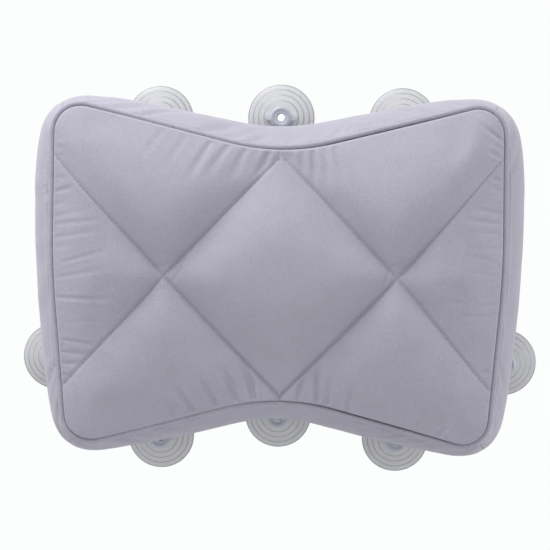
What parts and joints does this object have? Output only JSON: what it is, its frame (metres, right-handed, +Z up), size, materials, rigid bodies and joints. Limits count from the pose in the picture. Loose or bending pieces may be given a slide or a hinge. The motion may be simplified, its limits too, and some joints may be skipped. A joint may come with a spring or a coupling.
{
  "type": "bath pillow",
  "caption": "Quilted bow-tie bath pillow with a piped edge, boxed sides and clear suction cups buttoned into cloth tabs on its back.",
  "frame": {"origin": "middle of the pillow in the plane of the cups' lips, level with the crossings of the quilting", "axes": "+X to the right as the bather faces the pillow, +Y from the pillow to the wall, +Z up"},
  "size_m": [0.3892, 0.1045, 0.2917],
  "materials": {
    "cloth": "brushed microfibre",
    "fibre": "loose fibre",
    "lining": "plain weave",
    "cord": "twisted cotton",
    "clear_vinyl": "clear, moulded"
  },
  "bodies": {
    "cushion": {"front_panel": "cloth", "quilt_wadding": "fibre", "quilt_lining": "lining", "fibre_core": "fibre", "back_panel": "cloth", "piping_cover": "cloth", "piping_cord": "cord", "boxing_right": "cloth", "boxing_bottom": "cloth", "boxing_left": "cloth", "boxing_top": "cloth"},
    "tab_top_left": {"cup_tab_top_left": "cloth"},
    "cup_top_left": {"suction_cup_top_left": "clear_vinyl"},
    "tab_top_middle": {"cup_tab_top_middle": "cloth"},
    "cup_top_middle": {"suction_cup_top_middle": "clear_vinyl"},
    "tab_top_right": {"cup_tab_top_right": "cloth"},
    "cup_top_right": {"suction_cup_top_right": "clear_vinyl"},
    "tab_right": {"cup_tab_right": "cloth"},
    "cup_right": {"suction_cup_right": "clear_vinyl"},
    "tab_bottom_right": {"cup_tab_bottom_right": "cloth"},
    "cup_bottom_right": {"suction_cup_bottom_right": "clear_vinyl"},
    "tab_bottom_middle": {"cup_tab_bottom_middle": "cloth"},
    "cup_bottom_middle": {"suction_cup_bottom_middle": "clear_vinyl"},
    "tab_bottom_left": {"cup_tab_bottom_left": "cloth"},
    "cup_bottom_left": {"suction_cup_bottom_left": "clear_vinyl"},
    "tab_left": {"cup_tab_left": "cloth"},
    "cup_left": {"suction_cup_left": "clear_vinyl"}
  },
  "joints": [
    {"name": "tab_fold_top_left", "type": "hinge", "parent": "cushion", "child": "tab_top_left", "pos_m": [-0.091, -0.0162, 0.07775], "axis": [-1, 0, 0], "range_deg": [0, 75], "stiffness_Nm_per_rad": 0.02},
    {"name": "cup_turn_top_left", "type": "hinge", "parent": "tab_top_left", "child": "cup_top_left", "pos_m": [-0.091, 0, 0.11775], "axis": [0, 1, 0], "continuous": true},
    {"name": "tab_fold_top_middle", "type": "hinge", "parent": "cushion", "child": "tab_top_middle", "pos_m": [0, -0.0162, 0.07962], "axis": [-1, 0, 0], "range_deg": [0, 75], "stiffness_Nm_per_rad": 0.02},
    {"name": "cup_turn_top_middle", "type": "hinge", "parent": "tab_top_middle", "child": "cup_top_middle", "pos_m": [0, 0, 0.11962], "axis": [0, 1, 0], "continuous": true},
    {"name": "tab_fold_top_right", "type": "hinge", "parent": "cushion", "child": "tab_top_right", "pos_m": [0.091, -0.0162, 0.07775], "axis": [-1, 0, 0], "range_deg": [0, 75], "stiffness_Nm_per_rad": 0.02},
    {"name": "cup_turn_top_right", "type": "hinge", "parent": "tab_top_right", "child": "cup_top_right", "pos_m": [0.091, 0, 0.11775], "axis": [0, 1, 0], "continuous": true},
    {"name": "tab_fold_right", "type": "hinge", "parent": "cushion", "child": "tab_right", "pos_m": [0.12956, -0.0162, -0.0627], "axis": [0, 0, 1], "range_deg": [0, 75], "stiffness_Nm_per_rad": 0.02},
    {"name": "cup_turn_right", "type": "hinge", "parent": "tab_right", "child": "cup_right", "pos_m": [0.16956, 0, -0.0627], "axis": [0, 1, 0], "continuous": true},
    {"name": "tab_fold_bottom_right", "type": "hinge", "parent": "cushion", "child": "tab_bottom_right", "pos_m": [0.089, -0.0162, -0.08209], "axis": [1, 0, 0], "range_deg": [0, 75], "stiffness_Nm_per_rad": 0.02},
    {"name": "cup_turn_bottom_right", "type": "hinge", "parent": "tab_bottom_right", "child": "cup_bottom_right", "pos_m": [0.089, 0, -0.12209], "axis": [0, 1, 0], "continuous": true},
    {"name": "tab_fold_bottom_middle", "type": "hinge", "parent": "cushion", "child": "tab_bottom_middle", "pos_m": [0, -0.0162, -0.06494], "axis": [1, 0, 0], "range_deg": [0, 75], "stiffness_Nm_per_rad": 0.02},
    {"name": "cup_turn_bottom_middle", "type": "hinge", "parent": "tab_bottom_middle", "child": "cup_bottom_middle", "pos_m": [0, 0, -0.10494], "axis": [0, 1, 0], "continuous": true},
    {"name": "tab_fold_bottom_left", "type": "hinge", "parent": "cushion", "child": "tab_bottom_left", "pos_m": [-0.089, -0.0162, -0.08209], "axis": [1, 0, 0], "range_deg": [0, 75], "stiffness_Nm_per_rad": 0.02},
    {"name": "cup_turn_bottom_left", "type": "hinge", "parent": "tab_bottom_left", "child": "cup_bottom_left", "pos_m": [-0.089, 0, -0.12209], "axis": [0, 1, 0], "continuous": true},
    {"name": "tab_fold_left", "type": "hinge", "parent": "cushion", "child": "tab_left", "pos_m": [-0.12956, -0.0162, -0.0627], "axis": [0, 0, -1], "range_deg": [0, 75], "stiffness_Nm_per_rad": 0.02},
    {"name": "cup_turn_left", "type": "hinge", "parent": "tab_left", "child": "cup_left", "pos_m": [-0.16956, 0, -0.0627], "axis": [0, 1, 0], "continuous": true}
  ]
}
